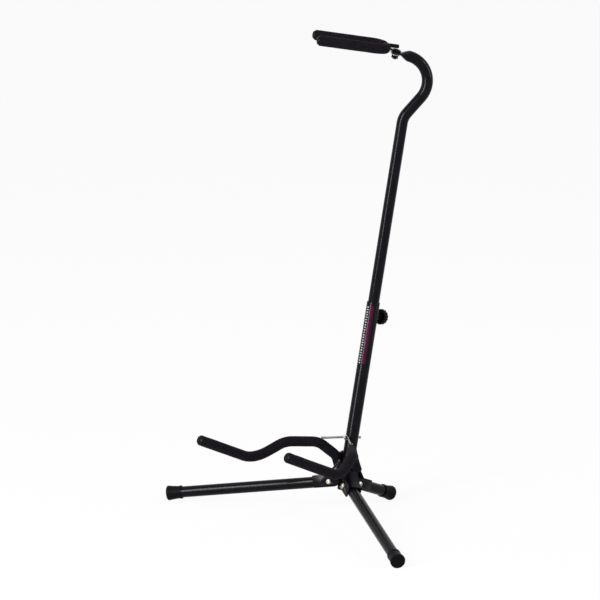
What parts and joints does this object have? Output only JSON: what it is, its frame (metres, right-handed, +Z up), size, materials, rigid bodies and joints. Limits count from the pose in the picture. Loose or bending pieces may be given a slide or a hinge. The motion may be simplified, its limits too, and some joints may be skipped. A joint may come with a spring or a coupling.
{
  "type": "guitar stand",
  "caption": "Folding tubular guitar stand with a leaning telescopic post, padded body yoke on a wire stay, padded neck cradle and three folding legs.",
  "frame": {"origin": "on the floor, under the middle of the stand as it is set up for use", "axes": "+Z up, -Y the way the stand faces (between the two long legs), +X to the right of someone who looks along +Y"},
  "size_m": [0.5512, 0.4686, 0.8078],
  "materials": {
    "black_paint": "gloss",
    "black_foam": "matte",
    "black_rubber": "satin",
    "black_plastic": "satin",
    "zinc": "bright zinc plate",
    "chrome": "polished"
  },
  "bodies": {
    "base": {"lower_tube": "black_paint", "bottom_plug": "black_plastic", "clamp_boss": "black_paint", "leg_bracket_left": "black_paint", "leg_bracket_right": "black_paint", "leg_bracket_rear": "black_paint", "leg_screw_left": "zinc", "leg_screw_right": "zinc", "leg_screw_rear": "zinc", "leg_nut_left": "zinc", "leg_nut_right": "zinc", "leg_nut_rear": "zinc", "yoke_bolt": "zinc", "yoke_nut": "zinc", "eye_bolt": "chrome", "eye_nut": "zinc"},
    "leg_left": {"leg_tube_left": "black_paint", "foot_cap_left": "black_rubber"},
    "leg_right": {"leg_tube_right": "black_paint", "foot_cap_right": "black_rubber"},
    "leg_rear": {"leg_tube_rear": "black_paint", "foot_cap_rear": "black_rubber"},
    "mast_glide": {"guide_bush": "black_plastic"},
    "mast": {"upper_tube": "black_paint", "cradle_frame": "black_paint", "cradle_foam_left": "black_foam", "cradle_foam_right": "black_foam", "cradle_tip_left": "black_plastic", "cradle_tip_right": "black_plastic", "cradle_bolt": "black_paint", "cradle_washer": "zinc", "cradle_nut": "zinc", "strap_peg": "black_plastic"},
    "knob": {"clamp_knob": "black_plastic", "clamp_screw": "zinc"},
    "yoke": {"yoke_rod_left": "black_paint", "yoke_rod_right": "black_paint", "yoke_foam_left": "black_foam", "yoke_foam_right": "black_foam", "yoke_tip_left": "black_plastic", "yoke_tip_right": "black_plastic"},
    "stay": {"stay_wire": "chrome"}
  },
  "joints": [
    {"name": "leg_left_fold", "type": "hinge", "parent": "base", "child": "leg_left", "pos_m": [-0.02226, 0.03647, 0.05511], "axis": [0.4643, -0.8636, 0.1962], "range_deg": [0, 74]},
    {"name": "leg_right_fold", "type": "hinge", "parent": "base", "child": "leg_right", "pos_m": [0.02226, 0.03647, 0.05511], "axis": [0.4643, 0.8636, -0.1962], "range_deg": [0, 74]},
    {"name": "leg_rear_fold", "type": "hinge", "parent": "base", "child": "leg_rear", "pos_m": [0, 0.07326, 0.04884], "axis": [-1, 0, 0], "range_deg": [0, 79]},
    {"name": "mast_slide", "type": "slide", "parent": "base", "child": "mast_glide", "axis": [0, 0.2215, 0.9751], "range_m": [-0.045, 0.105]},
    {"name": "mast_swivel", "type": "hinge", "parent": "mast_glide", "child": "mast", "pos_m": [0, 0.08145, 0.2004], "axis": [0, 0.2215, 0.9751], "continuous": true},
    {"name": "knob_turn", "type": "hinge", "parent": "base", "child": "knob", "pos_m": [-0.00199, 0.12979, 0.32786], "axis": [-0.1045, 0.9698, -0.2203], "continuous": true},
    {"name": "yoke_fold", "type": "hinge", "parent": "base", "child": "yoke", "pos_m": [0, 0.05841, 0.09898], "axis": [-0.9945, -0.1019, 0.0232], "range_deg": [0, 78]},
    {"name": "stay_swing", "type": "hinge", "parent": "base", "child": "stay", "pos_m": [0.00171, 0.04959, 0.1338], "axis": [-0.9945, -0.1019, 0.0232], "range_deg": [0, 94]}
  ],
  "couplings": [
    {"joint": "stay_swing", "follows": "yoke_fold", "ratio": 1.2}
  ]
}
